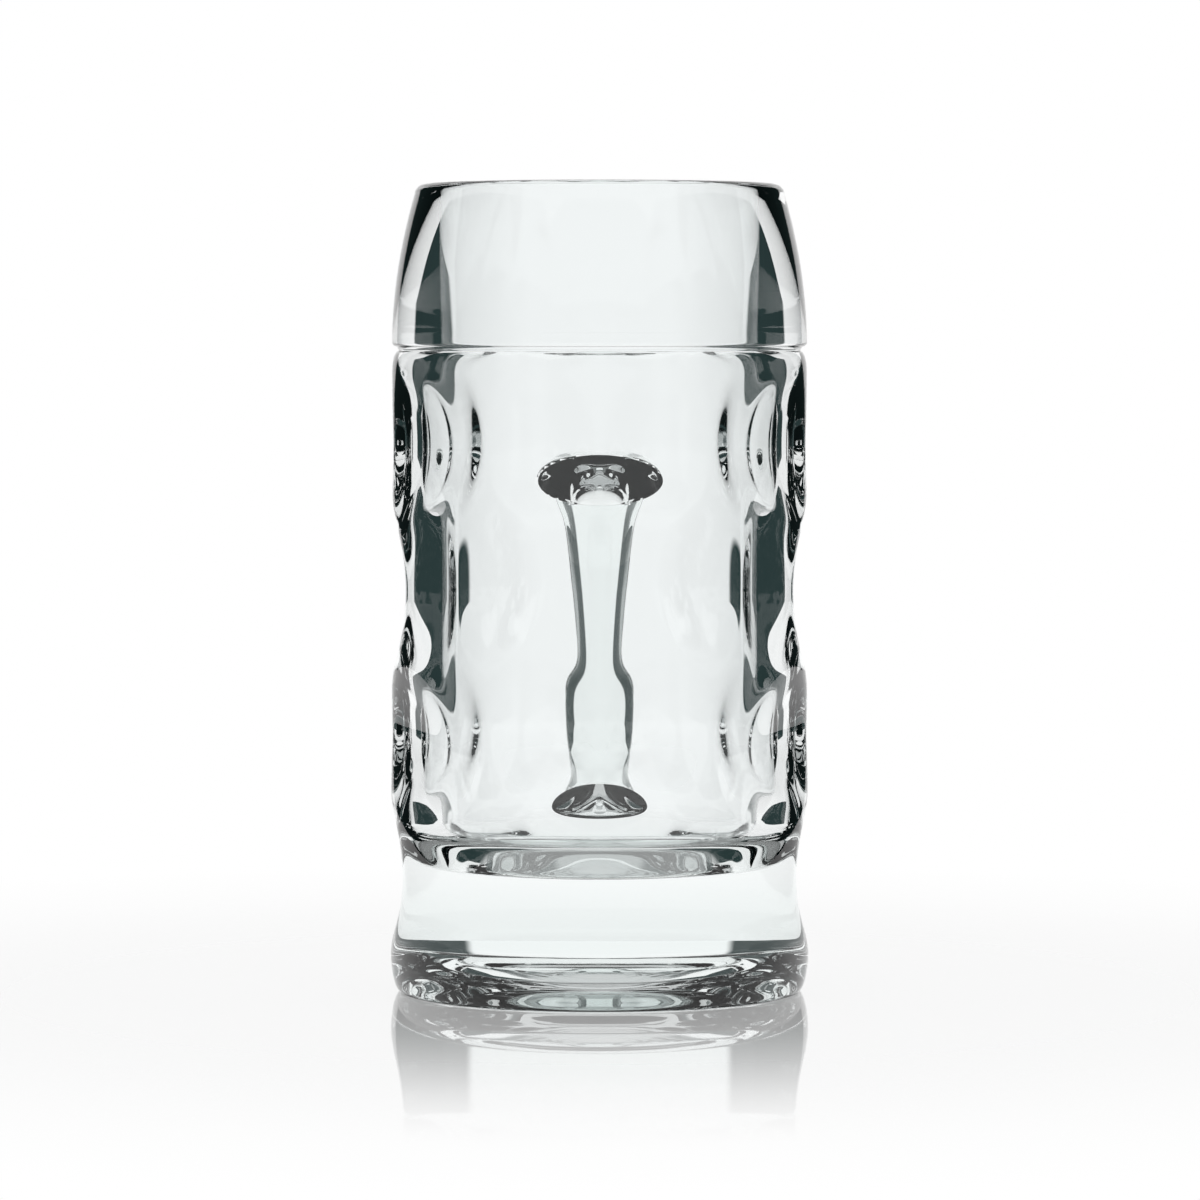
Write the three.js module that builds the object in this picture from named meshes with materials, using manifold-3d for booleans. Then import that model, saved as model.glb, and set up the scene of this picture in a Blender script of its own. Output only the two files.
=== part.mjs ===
// Clear pressed-glass beer mug with staggered rows of round hollows and one
// fused loop handle. Millimetres, +Z up. The mug's own axis is the Z axis of
// the group, the smooth front panel faces -Y and the handle stands at +Y.
// The origin lies on the table plane, under the centre of the whole part.
import * as THREE from 'three';
import { mergeVertices } from 'three/addons/utils/BufferGeometryUtils.js';
import Module from 'manifold-3d';

const wasm = await Module();
wasm.setup();

// Heights above the table
const mugHeight = 176;
const lipHeight = 2;
const collarEdgeHeight = 141.6;
const collarEdgeRound = 0.9;
const grooveHeight = 139.8;
const shoulderHeight = 135.4;
const taperTopHeight = 90;
const footBandHeight = 12.4;
const footRoundHeight = 10;
const floorHeight = 26.9;

// Radii of the outside: the foot spreads a little past the wall, and the ring
// that the mug rests on lies inside its rounded edge
const bodyRadius = 45.2;
const footFlare = 0.6;
const footRoundWidth = 2.3;
const restWidth = 2.1;
const footRadius = bodyRadius + footFlare;
const restOuterRadius = footRadius - footRoundWidth;
const restInnerRadius = restOuterRadius - restWidth;
const grooveDepth = 1.5;
const collarDraw = 5;
const collarCurvePower = 1.75;

// The inside: the wall's thickness, the mouth and the sloping corner at the
// floor
const wallThickness = 10.8;
const mouthFlare = 0.8;
const cavityRadius = bodyRadius - wallThickness;
const mouthRadius = cavityRadius + mouthFlare;
const cavityCornerWidth = 8.7;
const cavityCornerHeight = 8.3;

// The hollow under the base: steep at the rest ring and nearly flat on top
const puntDepth = 10.7;
const puntPower = 7;

// The hollows: one size and one height for each row, top row first. They stand
// an eighth of a turn apart, and the odd rows are turned by half a step against
// the even ones. A row leaves out the places on the smooth panel at the front
// and, in the even rows, the place behind the handle. Places count round from
// the front. The dish is how much deeper a hollow goes than a flat cut would.
const hollowCount = 8;
const oddPlaces = [1.5, 2.5, 3.5];
const evenPlaces = [2, 3];
const topRow = { height: 119.4, halfHeight: 15.8, halfWidth: 15.4, dish: 1.2 };
const secondRow = { height: 87.6, halfHeight: 16.4, halfWidth: 15.7, dish: 1.1 };
const thirdRow = { height: 56.1, halfHeight: 13.4, halfWidth: 15.2, dish: 1 };
const bottomRow = { height: 25.8, halfHeight: 13.6, halfWidth: 15, dish: 1.1 };
const hollowRows = [
  { ...topRow, places: oddPlaces },
  { ...secondRow, places: evenPlaces },
  { ...thirdRow, places: oddPlaces },
  { ...bottomRow, places: evenPlaces },
];

// The handle: a drawn loop whose two ends spread out on the wall
const upperSeatHeight = 107.5;
const lowerSeatHeight = 35;
const handleReach = 35.6;
const handleCrown = 10.5;
const handleRoot = 9;
const gripWidth = 13.2;
const gripThickness = 12;
const tailWidth = 12;
const upperSeatWidth = 30;
const upperSeatThickness = 30;
const lowerSeatWidth = 25.4;
const lowerSeatThickness = 15;
const seatSpread = 18;
const seatGap = 0.3;
const spreadPower = 1.7;

// The handle's middle line, from the upper seat round to the lower one: how
// far out of the wall it stands, in shares of the reach, and how far down it
// has come, in shares of the height between the seats
const outShares = [0.14, 0.36, 0.64, 0.88, 1, 0.99, 0.88, 0.66, 0.4, 0.14];
const downShares = [0, 0, 0, 0.02, 0.16, 0.37, 0.6, 0.8, 0.93, 0.99];
const crownShares = [0.43, 0.88, 1, 0.64, 0.08, 0, 0, 0, 0, 0];

// How finely the faces are divided
const roundSteps = 64;
const hollowSteps = 28;
const hollowRings = 5;
const arcSteps = 5;
const collarSteps = 6;
const lipSteps = 6;
const puntSteps = 8;
const handleSides = 18;
const handleRings = 44;

const clearGlass = { color: 0xdfeae7, roughness: 0.03, metalness: 0 };

// A closed geometry becomes a solid once its shared corners are merged and
// the slivers at the poles of a revolve are left out.
function solidOf(geometry) {
  const bare = geometry.clone();
  bare.deleteAttribute('normal');
  bare.deleteAttribute('uv');
  const merged = mergeVertices(bare);
  const index = merged.index.array;
  const kept = [];
  for (let i = 0; i < index.length; i += 3) {
    const [a, b, c] = [index[i], index[i + 1], index[i + 2]];
    if (a !== b && b !== c && c !== a) {
      kept.push(a, b, c);
    }
  }
  return new wasm.Manifold(new wasm.Mesh({
    numProp: 3,
    vertProperties: Float32Array.from(merged.attributes.position.array),
    triVerts: Uint32Array.from(kept),
  }));
}

function geometryOf(solid) {
  const mesh = solid.getMesh();
  const geometry = new THREE.BufferGeometry();
  geometry.setAttribute('position', new THREE.BufferAttribute(mesh.vertProperties, 3));
  geometry.setIndex(new THREE.BufferAttribute(mesh.triVerts, 1));
  geometry.computeVertexNormals();
  return geometry;
}

// A profile of radii and heights, from the axis round to the axis again,
// revolved about +Z.
function revolve(profile, steps) {
  const geometry = new THREE.LatheGeometry(profile, steps);
  geometry.rotateX(Math.PI / 2);
  return geometry;
}

// Points on a quarter of an ellipse between two angles in quarter turns
function quarter(centre, width, height, from, to, steps) {
  const points = [];
  for (let i = 0; i <= steps; i += 1) {
    const turn = (from + (to - from) * (i / steps)) * (Math.PI / 2);
    const x = centre.x + width * Math.cos(turn);
    const y = centre.y + height * Math.sin(turn);
    points.push(new THREE.Vector2(x, y));
  }
  return points;
}

// Radius of the plain wall at a height: straight above, and spreading slightly
// towards the foot
function wallRadius(height) {
  const fall = (taperTopHeight - height) / (taperTopHeight - footBandHeight);
  return bodyRadius + (footRadius - bodyRadius) * THREE.MathUtils.clamp(fall, 0, 1);
}

// The outside, from the rest ring up to the start of the lip, moved out by an
// allowance
function outsideProfile(allowance) {
  const footRound = quarter(
    new THREE.Vector2(restOuterRadius, footRoundHeight),
    footRadius - restOuterRadius, footRoundHeight, -1, 0, arcSteps,
  );
  const shoulder = quarter(
    new THREE.Vector2(bodyRadius - grooveDepth, shoulderHeight),
    grooveDepth, grooveHeight - shoulderHeight, 0, 1, arcSteps,
  );
  const collarEdge = quarter(
    new THREE.Vector2(bodyRadius - collarEdgeRound, collarEdgeHeight),
    collarEdgeRound, collarEdgeRound, -1, 0, arcSteps,
  );
  const collar = [];
  const collarRise = mugHeight - lipHeight - collarEdgeHeight;
  for (let i = 1; i <= collarSteps; i += 1) {
    const share = i / collarSteps;
    const radius = bodyRadius - collarDraw * share ** collarCurvePower;
    collar.push(new THREE.Vector2(radius, collarEdgeHeight + collarRise * share));
  }
  const band = [footBandHeight, taperTopHeight].map(
    (height) => new THREE.Vector2(wallRadius(height), height),
  );
  const all = [...footRound, ...band, ...shoulder, ...collarEdge, ...collar];
  return all.map((point) => new THREE.Vector2(point.x + allowance, point.y));
}

// The body before the hollows are pressed in. Under the base the steps crowd
// towards the rest ring, where the profile turns most.
function bodyProfile() {
  const points = [];
  for (let i = 0; i <= puntSteps; i += 1) {
    const share = Math.sin((i / puntSteps) * (Math.PI / 2));
    const height = puntDepth * (1 - share ** puntPower);
    points.push(new THREE.Vector2(restInnerRadius * share, height));
  }
  const outside = outsideProfile(0);
  points.push(...outside);
  const lipOuterRadius = outside[outside.length - 1].x;
  const lipMiddle = new THREE.Vector2((lipOuterRadius + mouthRadius) / 2, mugHeight - lipHeight);
  const lip = quarter(lipMiddle, (lipOuterRadius - mouthRadius) / 2, lipHeight, 0, 2, lipSteps);
  points.push(...lip.slice(1));
  points.push(new THREE.Vector2(cavityRadius, floorHeight + cavityCornerHeight));
  points.push(new THREE.Vector2(cavityRadius - cavityCornerWidth, floorHeight));
  points.push(new THREE.Vector2(0, floorHeight));
  return points;
}

// One hollow's cutter, a shallow bowl closed above the wall. It is stretched
// across so that it meets the curved wall at the row's half width. The lift
// keeps it clear of the wall by the allowance.
function hollowCutter(row, azimuth, lift) {
  const wall = wallRadius(row.height);
  const depth = wall - Math.sqrt(wall ** 2 - row.halfWidth ** 2) + row.dish;
  const stretch = (row.halfWidth / row.halfHeight) * Math.sqrt(depth / row.dish);
  const reach = row.halfHeight * Math.sqrt(2);
  const profile = [];
  for (let i = 0; i <= hollowRings; i += 1) {
    const out = reach * (i / hollowRings);
    profile.push(new THREE.Vector2(out, -depth + depth * (out / row.halfHeight) ** 2));
  }
  profile.push(new THREE.Vector2(0, 2 * depth));
  const cutter = new THREE.LatheGeometry(profile, hollowSteps);
  cutter.scale(stretch, 1, 1);
  cutter.rotateX(Math.PI);
  cutter.translate(0, -wall - lift, row.height);
  cutter.rotateZ(THREE.MathUtils.degToRad(azimuth));
  return solidOf(cutter);
}

function withHollows(solid, lift) {
  let result = solid;
  for (const row of hollowRows) {
    for (const place of row.places) {
      const azimuth = 360 * place / hollowCount;
      for (const side of [-1, 1]) {
        result = result.subtract(hollowCutter(row, azimuth * side, lift));
      }
    }
  }
  return result;
}

// The whole outside as one full solid with its hollows, moved out by the gap:
// it trims the handle's ends to the wall.
function seatTrim() {
  const profile = outsideProfile(seatGap);
  profile.unshift(new THREE.Vector2(0, 0));
  profile.push(new THREE.Vector2(0, mugHeight - lipHeight));
  return withHollows(solidOf(revolve(profile, roundSteps)), seatGap);
}

// The handle is lofted along its middle line through rounded sections that
// spread towards both seats, with both ends running into the wall.
function handleLoft() {
  const drop = upperSeatHeight - lowerSeatHeight;
  const points = outShares.map((share, i) => new THREE.Vector3(
    0,
    bodyRadius + handleReach * share,
    upperSeatHeight - drop * downShares[i] + handleCrown * crownShares[i],
  ));
  points.unshift(new THREE.Vector3(0, bodyRadius - handleRoot, upperSeatHeight));
  points.push(new THREE.Vector3(0, bodyRadius - handleRoot, lowerSeatHeight));
  const line = new THREE.CatmullRomCurve3(points);
  const length = line.getLength();
  const positions = [];
  for (let i = 0; i <= handleRings; i += 1) {
    const share = i / handleRings;
    const centre = line.getPointAt(share);
    const along = line.getTangentAt(share);
    const inward = new THREE.Vector3(0, -along.z, along.y);
    const fromTop = Math.max(0, share * length - handleRoot);
    const fromEnd = Math.max(0, (1 - share) * length - handleRoot);
    const top = Math.max(0, 1 - fromTop / seatSpread) ** spreadPower;
    const end = Math.max(0, 1 - fromEnd / seatSpread) ** spreadPower;
    const plain = THREE.MathUtils.lerp(gripWidth, tailWidth, share);
    const width = plain + (upperSeatWidth - plain) * top + (lowerSeatWidth - plain) * end;
    const thickness = gripThickness + (upperSeatThickness - gripThickness) * top
      + (lowerSeatThickness - gripThickness) * end;
    for (let j = 0; j < handleSides; j += 1) {
      const turn = 2 * Math.PI * (j / handleSides);
      const point = centre.clone().addScaledVector(inward, Math.sin(turn) * thickness / 2);
      point.x += Math.cos(turn) * width / 2;
      positions.push(...point);
    }
  }
  const index = [];
  for (let i = 0; i < handleRings; i += 1) {
    for (let j = 0; j < handleSides; j += 1) {
      const next = (j + 1) % handleSides;
      const a = i * handleSides + j;
      const b = i * handleSides + next;
      index.push(a, b + handleSides, b);
      index.push(a, a + handleSides, b + handleSides);
    }
  }
  const last = handleRings * handleSides;
  for (let j = 1; j < handleSides - 1; j += 1) {
    index.push(0, j, j + 1);
    index.push(last, last + j + 1, last + j);
  }
  const geometry = new THREE.BufferGeometry();
  geometry.setAttribute('position', new THREE.Float32BufferAttribute(positions, 3));
  geometry.setIndex(index);
  return geometry;
}

const bodySolid = withHollows(solidOf(revolve(bodyProfile(), roundSteps)), 0);
const handleSolid = solidOf(handleLoft()).subtract(seatTrim());

const mugBody = new THREE.Mesh(
  geometryOf(bodySolid),
  new THREE.MeshStandardMaterial(clearGlass),
);
mugBody.name = 'mug_body';

const handle = new THREE.Mesh(
  geometryOf(handleSolid),
  new THREE.MeshStandardMaterial(clearGlass),
);
handle.name = 'handle';

// The part is set so that its bounding box is centred over the origin.
const part = new THREE.Group();
part.add(mugBody, handle);
part.position.y = -(handleSolid.boundingBox().max[1] - footRadius) / 2;

export default part;
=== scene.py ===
import math
import bmesh
import bpy
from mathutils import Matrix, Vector


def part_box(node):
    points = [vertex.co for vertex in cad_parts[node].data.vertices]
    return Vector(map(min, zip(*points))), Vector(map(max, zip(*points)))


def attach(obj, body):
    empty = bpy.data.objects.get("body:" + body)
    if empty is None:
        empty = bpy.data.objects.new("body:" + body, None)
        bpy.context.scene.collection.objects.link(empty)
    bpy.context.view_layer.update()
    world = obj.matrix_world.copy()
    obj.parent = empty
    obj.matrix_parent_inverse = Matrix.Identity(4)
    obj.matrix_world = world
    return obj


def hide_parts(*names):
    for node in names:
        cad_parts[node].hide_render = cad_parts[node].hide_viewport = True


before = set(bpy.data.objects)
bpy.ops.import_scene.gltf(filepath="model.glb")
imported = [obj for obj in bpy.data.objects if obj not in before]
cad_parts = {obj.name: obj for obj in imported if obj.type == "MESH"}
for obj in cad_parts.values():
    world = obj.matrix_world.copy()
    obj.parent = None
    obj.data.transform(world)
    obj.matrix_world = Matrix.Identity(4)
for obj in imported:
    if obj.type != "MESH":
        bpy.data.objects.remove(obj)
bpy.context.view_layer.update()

# The mug body: one piece of clear soda-lime glass, pressed in a mould, with a
# drawn-in collar, a groove under it, a thick wall with rows of round hollows,
# a smooth inside and a heavy base. It stands on the ring round its foot.
BODY_RADIUS = 0.0452
FOOT_RADIUS = 0.0458
REST_OUTER_RADIUS = 0.0435
REST_INNER_RADIUS = 0.0414
GROOVE_DEPTH = 0.0015
MUG_HEIGHT = 0.176
LIP_HEIGHT = 0.002
COLLAR_EDGE_HEIGHT = 0.1416
COLLAR_EDGE_ROUND = 0.0009
COLLAR_DRAW = 0.005
COLLAR_CURVE_POWER = 1.9
GROOVE_HEIGHT = 0.1398
SHOULDER_HEIGHT = 0.1354
TAPER_TOP_HEIGHT = 0.090
FOOT_BAND_HEIGHT = 0.0124
FOOT_ROUND_HEIGHT = 0.010
PUNT_DEPTH = 0.0107
PUNT_POWER = 7

# How finely the outline is drawn: steps round the mug, steps along each stretch
# of the outline, and the distance under which two points are one
ROUND_STEPS = 300
WALL_STEP = 0.0008
UNDER_STEPS = 18
FOOT_STEPS = 14
GROOVE_STEPS = 9
COLLAR_EDGE_STEPS = 6
COLLAR_STEPS = 16
LIP_STEPS = 14
FLOOR_STEPS = 4
MERGE_DISTANCE = 0.00001

# The inside as radii and heights: from the mouth down past the neck, then the
# plain wall, the sloping corner and the floor
MOUTH_RADIUS = 0.0352
NECK = ((0.0352, 0.174), (0.0352, 0.1618), (0.0350, 0.1509), (0.0345, 0.1422),
        (0.0344, 0.1282), (0.0344, 0.107))
CORNER = ((0.0344, 0.107), (0.0344, 0.048), (0.0344, 0.0352), (0.0257, 0.0269), (0.018, 0.0269))
NECK_STEP = 0.003
CORNER_STEP = 0.0009
ROUNDING_PASSES = 6

# Each row of hollows: height, half height, half width, dish below a flat cut,
# and the angles of its hollows, counted both ways round from the front
HOLLOW_ROWS = (
    (0.1194, 0.0158, 0.0154, 0.0012, (67.5, 112.5, 157.5)),
    (0.0876, 0.0164, 0.0157, 0.0011, (90, 135)),
    (0.0561, 0.0134, 0.0152, 0.0010, (67.5, 112.5, 157.5)),
    (0.0258, 0.0136, 0.0150, 0.0011, (90, 135)),
)
HOLLOW_EDGE_SOFTNESS = 0.0009

# A hollow's soft edge ends at this many half heights, and at this angle from
# its middle in radians. Deeper than this many softnesses, the edge adds nothing.
HOLLOW_END_SHARE = 1.8
HOLLOW_END_ANGLE = 0.6
SOFT_DEPTHS = 20

# The wall outside starts beyond this radius: the hollow under the base and the
# inside of the mug lie within it
OUTSIDE_RADIUS = REST_INNER_RADIUS + 0.001

body_low, body_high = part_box("mug_body")
AXIS_Y = (body_low[1] + body_high[1]) / 2


def plain_wall(height):
    """The wall's radius between its hollows."""
    fall = (TAPER_TOP_HEIGHT - height) / (TAPER_TOP_HEIGHT - FOOT_BAND_HEIGHT)
    return BODY_RADIUS + (FOOT_RADIUS - BODY_RADIUS) * min(1, max(0, fall))


def hollow_depth(angle, height):
    """How deep the wall is pressed in, at an angle from the front in radians."""
    depth = 0
    for row_height, half_height, half_width, dish, azimuths in HOLLOW_ROWS:
        rise = (height - row_height) / half_height
        if abs(rise) > HOLLOW_END_SHARE:
            continue
        wall = plain_wall(row_height)
        full = wall - math.sqrt(wall ** 2 - half_width ** 2) + dish
        bowl_start = wall - full + full * rise ** 2
        bend = dish / half_width ** 2
        for azimuth in azimuths:
            turn = abs(angle) - math.radians(azimuth)
            root = math.cos(turn) ** 2 - 4 * bend * math.sin(turn) ** 2 * bowl_start
            if abs(turn) > HOLLOW_END_ANGLE or root <= 0:
                continue
            bowl = (wall - 2 * bowl_start / (math.cos(turn) + math.sqrt(root))) / HOLLOW_EDGE_SOFTNESS
            soft = bowl if bowl > SOFT_DEPTHS else math.log1p(math.exp(bowl))
            depth = max(depth, soft * HOLLOW_EDGE_SOFTNESS)
    return depth


def arc(centre, width, height, start, end, steps):
    """Points on a quarter of an ellipse, between two angles in quarter turns."""
    turns = [(start + (end - start) * i / steps) * math.pi / 2 for i in range(steps + 1)]
    return [(centre[0] + width * math.cos(t), centre[1] + height * math.sin(t)) for t in turns]


def eased(corners, step):
    """A line in even steps through some corners, which are rounded off."""
    line = []
    for (radius, height), (next_radius, next_height) in zip(corners, corners[1:]):
        count = max(1, round(math.hypot(next_radius - radius, next_height - height) / step))
        line += [(radius + (next_radius - radius) * i / count,
                  height + (next_height - height) * i / count) for i in range(count)]
    line.append(corners[-1])
    for _ in range(ROUNDING_PASSES):
        line[1:-1] = [((a[0] + 2 * b[0] + c[0]) / 4, (a[1] + 2 * b[1] + c[1]) / 4)
                      for a, b, c in zip(line, line[1:], line[2:])]
    return line


def body_profile():
    """Radii and heights, from the middle underneath, up outside and down inside."""
    shares = [math.sin(math.pi / 2 * i / UNDER_STEPS) for i in range(UNDER_STEPS + 1)]
    points = [(REST_INNER_RADIUS * share, PUNT_DEPTH * (1 - share ** PUNT_POWER)) for share in shares]
    points += arc((REST_OUTER_RADIUS, FOOT_ROUND_HEIGHT), FOOT_RADIUS - REST_OUTER_RADIUS,
                  FOOT_ROUND_HEIGHT, -1, 0, FOOT_STEPS)
    wall_steps = round((SHOULDER_HEIGHT - FOOT_BAND_HEIGHT) / WALL_STEP)
    for i in range(wall_steps):
        height = FOOT_BAND_HEIGHT + (SHOULDER_HEIGHT - FOOT_BAND_HEIGHT) * i / wall_steps
        points.append((plain_wall(height), height))
    points += arc((BODY_RADIUS - GROOVE_DEPTH, SHOULDER_HEIGHT), GROOVE_DEPTH,
                  GROOVE_HEIGHT - SHOULDER_HEIGHT, 0, 1, GROOVE_STEPS)
    points += arc((BODY_RADIUS - COLLAR_EDGE_ROUND, COLLAR_EDGE_HEIGHT), COLLAR_EDGE_ROUND,
                  COLLAR_EDGE_ROUND, -1, 0, COLLAR_EDGE_STEPS)
    rise = MUG_HEIGHT - LIP_HEIGHT - COLLAR_EDGE_HEIGHT
    for i in range(1, COLLAR_STEPS + 1):
        share = i / COLLAR_STEPS
        points.append((BODY_RADIUS - COLLAR_DRAW * share ** COLLAR_CURVE_POWER,
                       COLLAR_EDGE_HEIGHT + rise * share))
    lip_outer = BODY_RADIUS - COLLAR_DRAW
    lip_centre = ((lip_outer + MOUTH_RADIUS) / 2, MUG_HEIGHT - LIP_HEIGHT)
    points += arc(lip_centre, (lip_outer - MOUTH_RADIUS) / 2, LIP_HEIGHT, 0, 2, LIP_STEPS)[1:]
    points += eased(NECK, NECK_STEP)[1:-1]
    points += [CORNER[0]] + eased(CORNER[1:], CORNER_STEP)
    floor_radius, floor_height = CORNER[-1]
    points += [(floor_radius * (1 - i / FLOOR_STEPS), floor_height) for i in range(1, FLOOR_STEPS + 1)]
    return points


body_mesh = bmesh.new()
loop = [body_mesh.verts.new((0, AXIS_Y - radius, height)) for radius, height in body_profile()]
edges = [body_mesh.edges.new(pair) for pair in zip(loop, loop[1:])]
bmesh.ops.spin(body_mesh, geom=loop + edges, cent=(0, AXIS_Y, 0), axis=(0, 0, 1),
               angle=2 * math.pi, steps=ROUND_STEPS, use_merge=True)
bmesh.ops.remove_doubles(body_mesh, verts=body_mesh.verts, dist=MERGE_DISTANCE)
for vert in body_mesh.verts:
    out = Vector((vert.co.x, vert.co.y - AXIS_Y))
    if out.length > OUTSIDE_RADIUS:
        out *= 1 - hollow_depth(math.atan2(out.x, -out.y), vert.co.z) / out.length
        vert.co = (out.x, out.y + AXIS_Y, vert.co.z)


def linear(code):
    """An sRGB hex colour as the linear colour that a shader takes."""
    parts = [int(code[i:i + 2], 16) / 255 for i in (0, 2, 4)]
    return [p / 12.92 if p <= 0.04045 else ((p + 0.055) / 1.055) ** 2.4 for p in parts] + [1]


def blank(name):
    """A material with an empty node tree."""
    material = bpy.data.materials.new(name)
    material.use_nodes = True
    material.node_tree.nodes.clear()
    return material


def add(material, kind, settings=(), links=()):
    """Adds one node, with its settings by socket or property name and its links."""
    node = material.node_tree.nodes.new(kind)
    for name, value in dict(settings).items():
        if isinstance(name, int) or name in node.inputs:
            node.inputs[name].default_value = value
        else:
            setattr(node, name, value)
    for name, socket in dict(links).items():
        material.node_tree.links.new(socket, node.inputs[name])
    return node


def finished(mesh, name, materials):
    """Makes an object of a mesh, smooth all over and with its faces outwards."""
    bmesh.ops.recalc_face_normals(mesh, faces=mesh.faces)
    for face in mesh.faces:
        face.smooth = True
    data = bpy.data.meshes.new(name)
    mesh.to_mesh(data)
    mesh.free()
    piece = bpy.data.objects.new(name, data)
    bpy.context.scene.collection.objects.link(piece)
    for material in materials:
        data.materials.append(material)
    return piece


# Pressed soda-lime glass, fire-polished: clear, with a faint grey-green tint
# that deepens in the heavy foot, and the slow waves, about 14 mm apart, that
# the mould leaves.
CLEAR_TINT = "fbfdfd"
FOOT_TINT = "f2f8f7"
FOOT_TINT_HEIGHTS = (0.012, 0.034)
GLASS_IOR = 1.52
WAVE_SPACING_MM = 14.3
RIPPLE_HEIGHT = 0.000005
pressed_glass = blank("pressed_soda_lime_glass")
place = add(pressed_glass, "ShaderNodeTexCoord")
height = add(pressed_glass, "ShaderNodeSeparateXYZ", links={0: place.outputs["Object"]})
foot = add(pressed_glass, "ShaderNodeMapRange", {1: FOOT_TINT_HEIGHTS[0], 2: FOOT_TINT_HEIGHTS[1], 3: 1,
           4: 0, "interpolation_type": "SMOOTHSTEP"}, {0: height.outputs["Z"]})
tint = add(pressed_glass, "ShaderNodeMix", {"data_type": "RGBA", 6: linear(CLEAR_TINT), 7: linear(FOOT_TINT)},
           {0: foot.outputs[0]})
waves = add(pressed_glass, "ShaderNodeTexNoise", {"Scale": 1000 / WAVE_SPACING_MM, "Detail": 2,
            "Roughness": 0.45}, {"Vector": place.outputs["Object"]})
ripple = add(pressed_glass, "ShaderNodeBump", {"Strength": 1, "Distance": RIPPLE_HEIGHT},
             {"Height": waves.outputs[0]})
glass = add(pressed_glass, "ShaderNodeBsdfPrincipled", {"Roughness": 0, "IOR": GLASS_IOR,
            "Transmission Weight": 1}, {"Base Color": tint.outputs[2], "Normal": ripple.outputs[0]})
add(pressed_glass, "ShaderNodeOutputMaterial", links={0: glass.outputs[0]})

mug_body = finished(body_mesh, "glass_body", [pressed_glass])
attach(mug_body, "root")
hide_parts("mug_body")

# The handle: a gob of the same clear glass, drawn into a loop while hot. Both
# ends were pushed on to the wall, where they spread into a fan, and fused. Each
# seat is given by its height on the wall, its width, its own height and how
# far along the handle its fan reaches.
SEATS = ((0.1105, 0.034, 0.0115, 0.075), (0.0366, 0.0265, 0.0105, 0.02))
FAN_POWER = 1.2
SEAT_SIDES = 48
HANDLE_REACH = 0.0353
HANDLE_ROOT = 0.009
GRIP_WIDTH = 0.0132
GRIP_THICKNESS = 0.012
TAIL_WIDTH = 0.012
SEAT_SPREAD = 0.018
SPREAD_POWER = 1.7
HANDLE_RINGS = 90
WELD_LIFT = 0.00002
LINE_STEPS = 60
LINE_ROUNDING_PASSES = 60
END_RING_SHRINKS = (0.75, 0.66, 0.5)

# The handle's middle line: how far out of the wall, in shares of the reach,
# and how far down between the seats
HANDLE_LINE = ((0.14, 0), (0.36, 0), (0.64, 0.02), (0.88, 0.09), (1, 0.23), (0.99, 0.41), (0.88, 0.61),
               (0.66, 0.8), (0.4, 0.93), (0.14, 0.99))


def wall_y(x, height):
    """Where the wall stands behind the mug's axis, at a place across it."""
    radius = BODY_RADIUS
    for _ in range(3):
        angle = math.pi - math.asin(x / radius)
        radius = plain_wall(height) - hollow_depth(angle, height)
    return AXIS_Y + math.sqrt(radius ** 2 - x ** 2)


def handle_line():
    """Points along the handle's middle line, at even steps from seat to seat."""
    top, low = SEATS[0][0], SEATS[1][0]
    wall = AXIS_Y + BODY_RADIUS
    knots = [Vector((0, wall - HANDLE_ROOT, top)), Vector((0, wall, top))]
    knots += [Vector((0, wall + HANDLE_REACH * out, top + (low - top) * down)) for out, down in HANDLE_LINE]
    knots += [Vector((0, wall, low)), Vector((0, wall - HANDLE_ROOT, low))]
    dense = []
    for a, b, c, d in zip(knots, knots[1:], knots[2:], knots[3:]):
        for i in range(LINE_STEPS):
            t = i / LINE_STEPS
            dense.append(0.5 * (2 * b + (c - a) * t + (2 * a - 5 * b + 4 * c - d) * t ** 2
                                + (3 * b - a - 3 * c + d) * t ** 3))
    dense.append(knots[-2])
    for _ in range(LINE_ROUNDING_PASSES):
        dense[1:-1] = [(a + b * 2 + c) / 4 for a, b, c in zip(dense, dense[1:], dense[2:])]
    travelled = [0]
    for a, b in zip(dense, dense[1:]):
        travelled.append(travelled[-1] + (b - a).length)
    line = []
    for i in range(HANDLE_RINGS + 1):
        wanted = travelled[-1] * i / HANDLE_RINGS
        j = min(len(dense) - 2, max(k for k, t in enumerate(travelled) if t <= wanted + 1e-9))
        share = (wanted - travelled[j]) / (travelled[j + 1] - travelled[j])
        line.append(dense[j].lerp(dense[j + 1], share))
    return line, travelled[-1]


def grown_edges(mesh, edges):
    """Extrudes a ring of edges, and gives the new edges and corners."""
    grown = bmesh.ops.extrude_edge_only(mesh, edges=edges)["geom"]
    corners = {v for v in grown if isinstance(v, bmesh.types.BMVert)}
    return [e for e in grown if isinstance(e, bmesh.types.BMEdge) and corners.issuperset(e.verts)], corners


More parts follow.
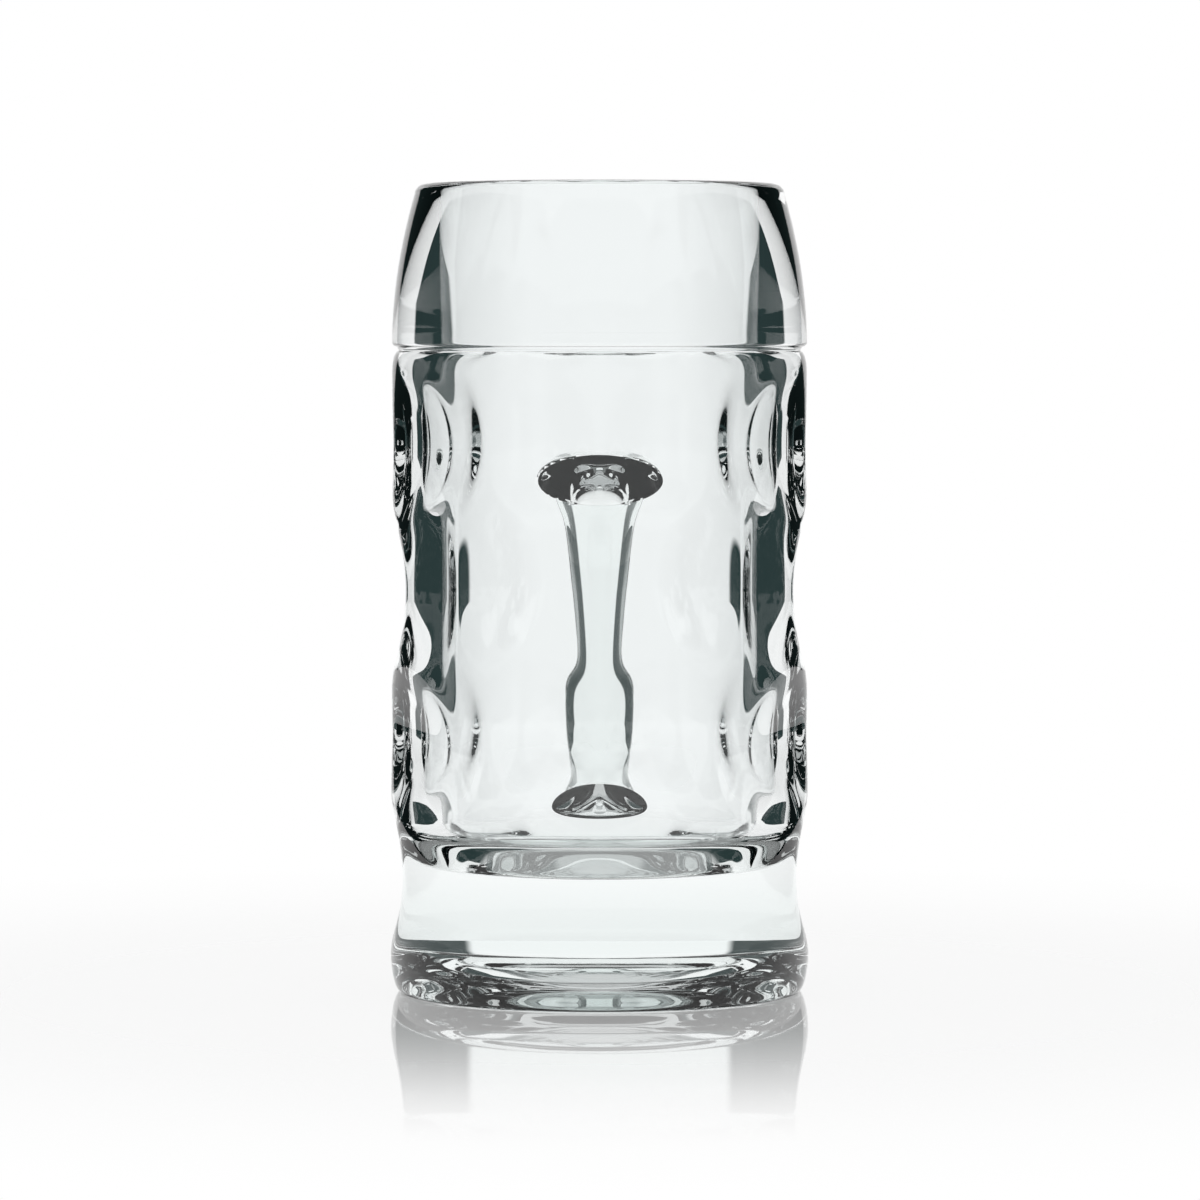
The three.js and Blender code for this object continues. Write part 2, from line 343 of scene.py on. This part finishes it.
line, length = handle_line()
handle_mesh = bmesh.new()
ring = bmesh.ops.create_circle(handle_mesh, segments=SEAT_SIDES, radius=GRIP_WIDTH)["verts"]
ring_edges = list(handle_mesh.edges)
ends = []
for i, centre in enumerate(line):
    along = (line[min(i + 1, HANDLE_RINGS)] - line[max(i - 1, 0)]).normalized()
    inward = Vector((0, -along.z, along.y))
    at_seat = i in (0, HANDLE_RINGS)
    if at_seat:
        inward = Vector((0, 0, math.copysign(1, along.y)))
    travelled = length * i / HANDLE_RINGS
    width = GRIP_WIDTH + (TAIL_WIDTH - GRIP_WIDTH) * i / HANDLE_RINGS
    thickness = GRIP_THICKNESS
    plain_width = width
    for (_, seat_width, seat_thickness, fan), away in zip(SEATS, (travelled, length - travelled)):
        width += (seat_width - plain_width) * max(0, 1 - away / fan) ** FAN_POWER
        thickness += (seat_thickness - GRIP_THICKNESS) * max(0, 1 - away / SEAT_SPREAD) ** SPREAD_POWER
    if i:
        ring_edges, corners = grown_edges(handle_mesh, ring_edges)
        ring = [next(e.other_vert(v) for e in v.link_edges if e.other_vert(v) in corners) for v in ring]
    for j, vert in enumerate(ring):
        turn = 2 * math.pi * j / SEAT_SIDES
        vert.co = centre + inward * (math.sin(turn) * thickness / 2)
        vert.co.x += math.cos(turn) * width / 2
        if at_seat:
            vert.co.y = wall_y(vert.co.x, vert.co.z) + WELD_LIFT
    if at_seat:
        ends.append((list(ring_edges), centre))

# Both ends are closed by a face that follows the wall
for end_edges, middle in ends:
    for shrink in END_RING_SHRINKS:
        end_edges, corners = grown_edges(handle_mesh, end_edges)
        for vert in corners:
            vert.co.x *= shrink
            vert.co.z = middle.z + (vert.co.z - middle.z) * shrink
            vert.co.y = wall_y(vert.co.x, vert.co.z) + WELD_LIFT
    bmesh.ops.edgeloop_fill(handle_mesh, edges=end_edges)
for face in handle_mesh.faces:
    if all(v.co.y < wall_y(v.co.x, v.co.z) + 5 * WELD_LIFT for v in face.verts):
        face.material_index = 1

# Drawn soda-lime glass of the handle: the same clear metal, with fine streaks
# about 4 mm apart that run along the loop as it was pulled.
DRAWN_TINT = "fafdfc"
STREAK_SPACING_MM = 3.85
STREAK_LENGTH_MM = 25
drawn_glass = blank("drawn_soda_lime_glass")
place = add(drawn_glass, "ShaderNodeTexCoord")
streak_scale = (1000 / STREAK_SPACING_MM, 1000 / STREAK_LENGTH_MM, 1000 / STREAK_LENGTH_MM)
pulled = add(drawn_glass, "ShaderNodeMapping", {"Scale": streak_scale}, {0: place.outputs["Object"]})
streaks = add(drawn_glass, "ShaderNodeTexNoise", {"Scale": 1, "Detail": 2}, {"Vector": pulled.outputs[0]})
ripple = add(drawn_glass, "ShaderNodeBump", {"Strength": 1, "Distance": RIPPLE_HEIGHT},
             {"Height": streaks.outputs[0]})
glass = add(drawn_glass, "ShaderNodeBsdfPrincipled", {"Base Color": linear(DRAWN_TINT), "Roughness": 0,
            "IOR": GLASS_IOR, "Transmission Weight": 1}, {"Normal": ripple.outputs[0]})
add(drawn_glass, "ShaderNodeOutputMaterial", links={0: glass.outputs[0]})

# The fused seats: where the handle was welded on hot, the two gobs of glass
# became one, so light runs straight through and no surface is seen.
fused_glass = blank("fused_glass_seat")
through = add(fused_glass, "ShaderNodeBsdfTransparent", {0: linear("ffffff")})
add(fused_glass, "ShaderNodeOutputMaterial", links={0: through.outputs[0]})

handle = finished(handle_mesh, "glass_handle", [drawn_glass, fused_glass])
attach(handle, "root")
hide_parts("handle")

# The outline of each seat is cut into the wall of the mug, and the wall inside
# it is fused glass too. Each cut is kept to the faces near its seat, within the
# zone at the back and within shares of the seat's width and height.
SEAT_ZONE_Y = AXIS_Y + 0.036
CUT_WIDTH_SHARE = 0.56
CUT_HEIGHT_SHARE = 0.6
INSIDE_SHARE = 0.9985
mug_body.data.materials.append(fused_glass)
seat_mesh = bmesh.new()
seat_mesh.from_mesh(mug_body.data)
for height, width, thickness, _ in SEATS:
    corners = [Vector((width / 2 * math.cos(2 * math.pi * j / SEAT_SIDES), 0,
                       height + thickness / 2 * math.sin(2 * math.pi * j / SEAT_SIDES)))
               for j in range(SEAT_SIDES)]
    for a, b in zip(corners, corners[1:] + corners[:1]):
        near = [f for f in seat_mesh.faces if f.verts[0].co.y > SEAT_ZONE_Y
                and any(abs(v.co.x) < width * CUT_WIDTH_SHARE
                        and abs(v.co.z - height) < thickness * CUT_HEIGHT_SHARE for v in f.verts)]
        geom = near + list({e for f in near for e in f.edges}) + list({v for f in near for v in f.verts})
        bmesh.ops.bisect_plane(seat_mesh, geom=geom, dist=MERGE_DISTANCE, plane_co=a,
                               plane_no=(b - a).cross(Vector((0, 1, 0))))
    for face in seat_mesh.faces:
        place = face.calc_center_median()
        across = place.x / (width / 2)
        up = (place.z - height) / (thickness / 2)
        if place.y > SEAT_ZONE_Y and across ** 2 + up ** 2 < INSIDE_SHARE:
            face.material_index = 1
seat_mesh.to_mesh(mug_body.data)
seat_mesh.free()

# The table: a white lacquered top, polished so that it mirrors the mug close to
# its foot. It is not part of the mug. The mirror and the matt layer, which takes
# the shadow, both fade out over a stretch of distance from the mug's axis.
TABLE_HALF_WIDTH = 0.39
TABLE_FRONT = 0.6
TABLE_BACK = 0.95
TABLE_DROP = 0.0001
MIRROR_SHARE = 0.62
MIRROR_FADE = (0.045, 0.25)
MATT_SHARE = 0.35
MATT_FADE = (0.05, 0.3)
POLISH_ROUGHNESS = 0.02
table_mesh = bmesh.new()
bmesh.ops.create_grid(table_mesh, x_segments=1, y_segments=1, size=1)
for vert in table_mesh.verts:
    reach = TABLE_BACK if vert.co.y > 0 else -TABLE_FRONT
    vert.co = (math.copysign(TABLE_HALF_WIDTH, vert.co.x), AXIS_Y + reach, -TABLE_DROP)
data = bpy.data.meshes.new("table_top")
table_mesh.to_mesh(data)
table_mesh.free()
table = bpy.data.objects.new("table_top", data)
bpy.context.scene.collection.objects.link(table)
lacquer = blank("white_lacquer")
data.materials.append(lacquer)
place = add(lacquer, "ShaderNodeTexCoord")
centred = add(lacquer, "ShaderNodeMapping", {"Location": (0, -AXIS_Y, 0)}, {0: place.outputs["Object"]})
distance = add(lacquer, "ShaderNodeVectorMath", {"operation": "LENGTH"}, {0: centred.outputs[0]})
near = add(lacquer, "ShaderNodeMapRange", {1: MIRROR_FADE[0], 2: MIRROR_FADE[1], 3: MIRROR_SHARE, 4: 0,
           "interpolation_type": "SMOOTHSTEP"}, {0: distance.outputs["Value"]})
matt_share = add(lacquer, "ShaderNodeMapRange", {1: MATT_FADE[0], 2: MATT_FADE[1], 3: MATT_SHARE, 4: 0},
                 {0: distance.outputs["Value"]})
matt = add(lacquer, "ShaderNodeBsdfDiffuse", {0: linear("f2f2f2")})
glow = add(lacquer, "ShaderNodeEmission", {0: linear("ffffff"), 1: 1})
shaded = add(lacquer, "ShaderNodeMixShader",
             links={0: matt_share.outputs[0], 1: glow.outputs[0], 2: matt.outputs[0]})
mirror = add(lacquer, "ShaderNodeBsdfGlossy", {0: linear("ffffff"), "Roughness": POLISH_ROUGHNESS})
polished = add(lacquer, "ShaderNodeMixShader",
               links={0: near.outputs[0], 1: shaded.outputs[0], 2: mirror.outputs[0]})
path = add(lacquer, "ShaderNodeLightPath")
seen = add(lacquer, "ShaderNodeMath", {"operation": "MAXIMUM"},
           {0: path.outputs["Is Camera Ray"], 1: path.outputs["Is Glossy Ray"]})
seen = add(lacquer, "ShaderNodeMath", {"operation": "MAXIMUM"},
           {0: seen.outputs[0], 1: path.outputs["Is Transmission Ray"]})
surface = add(lacquer, "ShaderNodeMixShader",
              links={0: seen.outputs[0], 1: matt.outputs[0], 2: polished.outputs[0]})
add(lacquer, "ShaderNodeOutputMaterial", links={0: surface.outputs[0]})

# The studio: white all round for the eye and for the polished table. What clear
# glass shows of it is a white backdrop behind the mug, between dark flags that
# draw the edges of the glass, a softer white behind the camera and a light
# overhead.
BACKDROP_HALF_ANGLE = (math.radians(26), math.radians(29))
BACKDROP_TOP = (0.6, 0.8)
FRONT_START = (math.radians(105), math.radians(125))
FRONT_LIGHT = 0.5
FLAG_COLOUR = linear("2b3a3a")
OVERHEAD_START = (0.6, 0.85)
OVERHEAD_LIGHT = 0.6
studio = bpy.data.worlds.new("studio")
bpy.context.scene.world = studio
studio.use_nodes = True
studio.node_tree.nodes.clear()
view = add(studio, "ShaderNodeTexCoord")
axes = add(studio, "ShaderNodeSeparateXYZ", links={0: view.outputs["Generated"]})
angle = add(studio, "ShaderNodeMath", {"operation": "ARCTAN2"}, {0: axes.outputs["X"], 1: axes.outputs["Y"]})
away = add(studio, "ShaderNodeMath", {"operation": "ABSOLUTE"}, {0: angle.outputs[0]})
behind = add(studio, "ShaderNodeMapRange", {1: BACKDROP_HALF_ANGLE[0], 2: BACKDROP_HALF_ANGLE[1], 3: 1,
             4: 0, "interpolation_type": "SMOOTHSTEP"}, {0: away.outputs[0]})
front = add(studio, "ShaderNodeMapRange", {1: FRONT_START[0], 2: FRONT_START[1], 3: 0, 4: FRONT_LIGHT,
            "interpolation_type": "SMOOTHSTEP"}, {0: away.outputs[0]})
walls = add(studio, "ShaderNodeMath", {"operation": "MAXIMUM"}, {0: behind.outputs[0], 1: front.outputs[0]})
below_top = add(studio, "ShaderNodeMapRange", {1: BACKDROP_TOP[0], 2: BACKDROP_TOP[1], 3: 1, 4: 0,
                "interpolation_type": "SMOOTHSTEP"}, {0: axes.outputs["Z"]})
walls = add(studio, "ShaderNodeMath", {"operation": "MULTIPLY"},
            {0: walls.outputs[0], 1: below_top.outputs[0]})
overhead = add(studio, "ShaderNodeMapRange", {1: OVERHEAD_START[0], 2: OVERHEAD_START[1], 3: 0,
               4: OVERHEAD_LIGHT, "interpolation_type": "SMOOTHSTEP"}, {0: axes.outputs["Z"]})
level = add(studio, "ShaderNodeMath", {"operation": "MAXIMUM"}, {0: walls.outputs[0], 1: overhead.outputs[0]})
path = add(studio, "ShaderNodeLightPath")
direct = add(studio, "ShaderNodeMath", {"operation": "MAXIMUM"},
             {0: path.outputs["Is Camera Ray"], 1: path.outputs["Is Diffuse Ray"]})
polish = add(studio, "ShaderNodeMath", {"operation": "GREATER_THAN"},
             {0: path.outputs["Is Glossy Ray"], 1: path.outputs["Is Singular Ray"]})
direct = add(studio, "ShaderNodeMath", {"operation": "MAXIMUM"},
             {0: direct.outputs[0], 1: polish.outputs[0]})
white_share = add(studio, "ShaderNodeMath", {"operation": "MAXIMUM"},
                  {0: direct.outputs[0], 1: level.outputs[0]})
colour = add(studio, "ShaderNodeMix", {"data_type": "RGBA", 6: FLAG_COLOUR, 7: linear("ffffff")},
             {0: white_share.outputs[0]})
light = add(studio, "ShaderNodeBackground", {1: 1}, {0: colour.outputs[2]})
add(studio, "ShaderNodeOutputWorld", links={0: light.outputs[0]})

# The camera: level with the mug's collar and tilted down to the middle of the
# mug, with a long lens. Lengths in the picture are in pixels of a 1200 pixel
# image.
PICTURE_SIZE = 1200
PIXEL = 0.000218362
CAMERA_DISTANCE = 5780 * PIXEL
CAMERA_HEIGHT = 656 * PIXEL
AIM_HEIGHT = 391 * PIXEL
AXIS_OFFSET = PIXEL / 2
SENSOR_WIDTH = 36
camera_data = bpy.data.cameras.new("camera")
camera = bpy.data.objects.new("camera", camera_data)
bpy.context.scene.collection.objects.link(camera)
bpy.context.scene.camera = camera
camera.location = (AXIS_OFFSET, AXIS_Y - CAMERA_DISTANCE, CAMERA_HEIGHT)
aim_distance = math.hypot(CAMERA_DISTANCE, CAMERA_HEIGHT - AIM_HEIGHT)
camera.rotation_euler = (math.acos((CAMERA_HEIGHT - AIM_HEIGHT) / aim_distance), 0, 0)
camera_data.sensor_width = SENSOR_WIDTH
camera_data.lens = SENSOR_WIDTH / (PICTURE_SIZE * PIXEL) * aim_distance
bpy.context.scene.view_settings.view_transform = "Standard"
